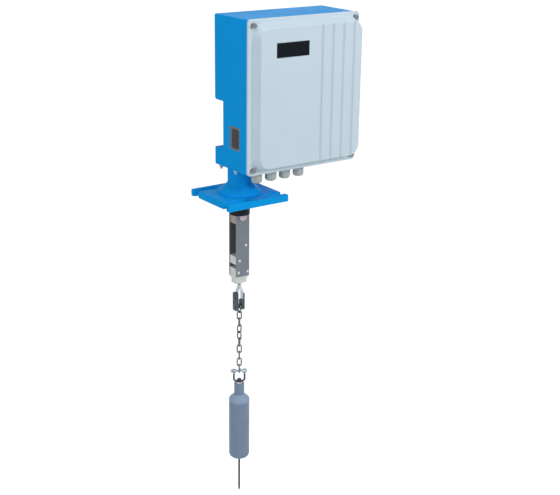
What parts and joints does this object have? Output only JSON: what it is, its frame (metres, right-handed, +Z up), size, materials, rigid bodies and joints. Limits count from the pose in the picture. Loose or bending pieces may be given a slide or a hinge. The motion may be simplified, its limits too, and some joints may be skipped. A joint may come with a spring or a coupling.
{
  "type": "electromechanical level meter",
  "caption": "Silo level meter: a motor-driven drum in a cast housing lowers a tape, chain and sounding weight through a flanged pedestal and a tape stripper.",
  "frame": {"origin": "centre of the flange's lower face, on the axis of the tape", "axes": "+Z up along the tape, +X along the housing to its right-hand side as seen from the front cover, -Y out of the front cover"},
  "size_m": [0.4655, 0.2668, 1.6291],
  "materials": {
    "housing_paint": "semi-gloss blue paint on cast aluminium",
    "cover_plastic": "satin light grey moulding",
    "screw_steel": "bright",
    "label_film": "black film, bare",
    "plate_metal": "satin, bare",
    "gland_plastic": "grey polyamide",
    "seal_rubber": "black",
    "stripper_steel": "satin sheet",
    "scraper_plastic": "white",
    "tape_steel": "spring steel strip",
    "hanger_steel": "bright strip",
    "cheek_metal": "dark",
    "chain_steel": "bright wire",
    "shackle_steel": "forged, bright",
    "weight_coating": "grey-blue satin coat",
    "spike_steel": "dark rod",
    "drum_alloy": "machined",
    "shaft_steel": "ground",
    "gear_brass": "machined",
    "motor_paint": "dark grey",
    "board_laminate": "green laminate",
    "fitting_plastic": "black mouldings"
  },
  "bodies": {
    "stand": {"pedestal": "housing_paint", "pedestal_screws": "screw_steel", "housing": "housing_paint", "rear_cover": "housing_paint", "rear_cover_screws": "screw_steel", "front_cover": "cover_plastic", "cover_screws": "screw_steel", "front_label": "label_film", "side_plate": "plate_metal", "gland_bodies": "gland_plastic", "gland_nuts": "gland_plastic", "gland_plugs": "gland_plastic", "seal_collar": "seal_rubber", "stripper_sleeve": "stripper_steel", "stripper_channel": "stripper_steel", "shoulder_screws": "screw_steel", "stripper_screws": "screw_steel", "stripper_spacer": "screw_steel", "upper_scraper": "scraper_plastic", "lower_scraper": "scraper_plastic", "drum_bearings": "shaft_steel", "gear_motor": "motor_paint", "motor_bracket": "drum_alloy", "arm_pin": "shaft_steel", "pulse_sensor": "fitting_plastic", "arm_spring": "shaft_steel", "slack_switch": "fitting_plastic", "circuit_board": "board_laminate", "board_spacers": "shaft_steel", "terminal_block": "fitting_plastic"},
    "tape_drum_shaft": {"tape_drum": "drum_alloy", "tape_coil": "tape_steel", "drum_shaft": "shaft_steel", "drum_gear": "gear_brass"},
    "pinion": {"motor_pinion": "gear_brass"},
    "arm": {"tension_arm": "drum_alloy", "tape_lead": "tape_steel"},
    "wheel": {"measuring_wheel": "drum_alloy", "pulse_disc": "drum_alloy"},
    "tape_end": {"tape_run": "tape_steel", "hanger_strips": "hanger_steel", "left_cheek": "cheek_metal", "right_cheek": "cheek_metal", "hanger_pin": "screw_steel", "hanger_screws": "screw_steel"},
    "link_1": {"chain_link_1": "chain_steel"},
    "link_2": {"chain_link_2": "chain_steel"},
    "link_3": {"chain_link_3": "chain_steel"},
    "link_4": {"chain_link_4": "chain_steel"},
    "link_5": {"chain_link_5": "chain_steel"},
    "link_6": {"chain_link_6": "chain_steel"},
    "link_7": {"chain_link_7": "chain_steel"},
    "link_8": {"chain_link_8": "chain_steel"},
    "link_9": {"chain_link_9": "chain_steel"},
    "link_10": {"chain_link_10": "chain_steel"},
    "shackle": {"shackle_bow": "shackle_steel", "shackle_pin": "shackle_steel"},
    "weight": {"sounding_weight": "weight_coating", "weight_eye": "spike_steel", "weight_spike": "spike_steel"}
  },
  "joints": [
    {"name": "tape_payout", "type": "slide", "parent": "stand", "child": "tape_end", "axis": [0, 0, -1], "range_m": [0, 1], "deforming": ["tape_run"]},
    {"name": "drum_spin", "type": "hinge", "parent": "stand", "child": "tape_drum_shaft", "pos_m": [0.15, 0, 0.445], "axis": [0, -1, 0], "range_deg": [0, 917.5]},
    {"name": "pinion_spin", "type": "hinge", "parent": "stand", "child": "pinion", "pos_m": [0.20449, -0.107, 0.41959], "axis": [0, 1, 0], "range_deg": [0, 3669.9]},
    {"name": "arm_swing", "type": "hinge", "parent": "stand", "child": "arm", "pos_m": [-0.036, 0.016, 0.47], "axis": [0, -1, 0], "range_deg": [0, 4], "deforming": ["arm_spring"]},
    {"name": "wheel_spin", "type": "hinge", "parent": "arm", "child": "wheel", "pos_m": [0.03845, 0, 0.47], "axis": [0, -1, 0], "range_deg": [0, 1490.2]},
    {"name": "link_1_swing", "type": "hinge", "parent": "tape_end", "child": "link_1", "pos_m": [0, 0, -0.366], "axis": [1, 0, 0], "range_deg": [-15, 15]},
    {"name": "link_2_swing", "type": "hinge", "parent": "link_1", "child": "link_2", "pos_m": [0, 0, -0.38915], "axis": [0, 1, 0], "range_deg": [-15, 15]},
    {"name": "link_3_swing", "type": "hinge", "parent": "link_2", "child": "link_3", "pos_m": [0, 0, -0.41305], "axis": [-0.9272, 0.3746, 0], "range_deg": [-15, 15]},
    {"name": "link_4_swing", "type": "hinge", "parent": "link_3", "child": "link_4", "pos_m": [0, 0, -0.43695], "axis": [0.3746, 0.9272, 0], "range_deg": [-15, 15]},
    {"name": "link_5_swing", "type": "hinge", "parent": "link_4", "child": "link_5", "pos_m": [0, 0, -0.46085], "axis": [-0.9997, 0.0262, 0], "range_deg": [-15, 15]},
    {"name": "link_6_swing", "type": "hinge", "parent": "link_5", "child": "link_6", "pos_m": [0, 0, -0.48475], "axis": [-0.3256, 0.9455, 0], "range_deg": [-15, 15]},
    {"name": "link_7_swing", "type": "hinge", "parent": "link_6", "child": "link_7", "pos_m": [0, 0, -0.50865], "axis": [0.7716, 0.6361, 0], "range_deg": [-15, 15]},
    {"name": "link_8_swing", "type": "hinge", "parent": "link_7", "child": "link_8", "pos_m": [0, 0, -0.53255], "axis": [-0.866, 0.5, 0], "range_deg": [-15, 15]},
    {"name": "link_9_swing", "type": "hinge", "parent": "link_8", "child": "link_9", "pos_m": [0, 0, -0.55645], "axis": [0.5, 0.866, 0], "range_deg": [-15, 15]},
    {"name": "link_10_swing", "type": "hinge", "parent": "link_9", "child": "link_10", "pos_m": [0, 0, -0.58035], "axis": [-0.866, 0.5, 0], "range_deg": [-15, 15]},
    {"name": "shackle_swing", "type": "hinge", "parent": "link_10", "child": "shackle", "pos_m": [0, 0, -0.5985], "axis": [0.866, -0.5, 0], "range_deg": [-20, 20]},
    {"name": "weight_swing", "type": "hinge", "parent": "shackle", "child": "weight", "pos_m": [0, 0, -0.6351], "axis": [0.866, -0.5, 0], "range_deg": [-20, 20]}
  ],
  "couplings": [
    {"joint": "drum_spin", "follows": "tape_payout", "rad_per_m": 16.013},
    {"joint": "pinion_spin", "follows": "tape_payout", "rad_per_m": 64.051},
    {"joint": "wheel_spin", "follows": "tape_payout", "rad_per_m": 26.008}
  ]
}
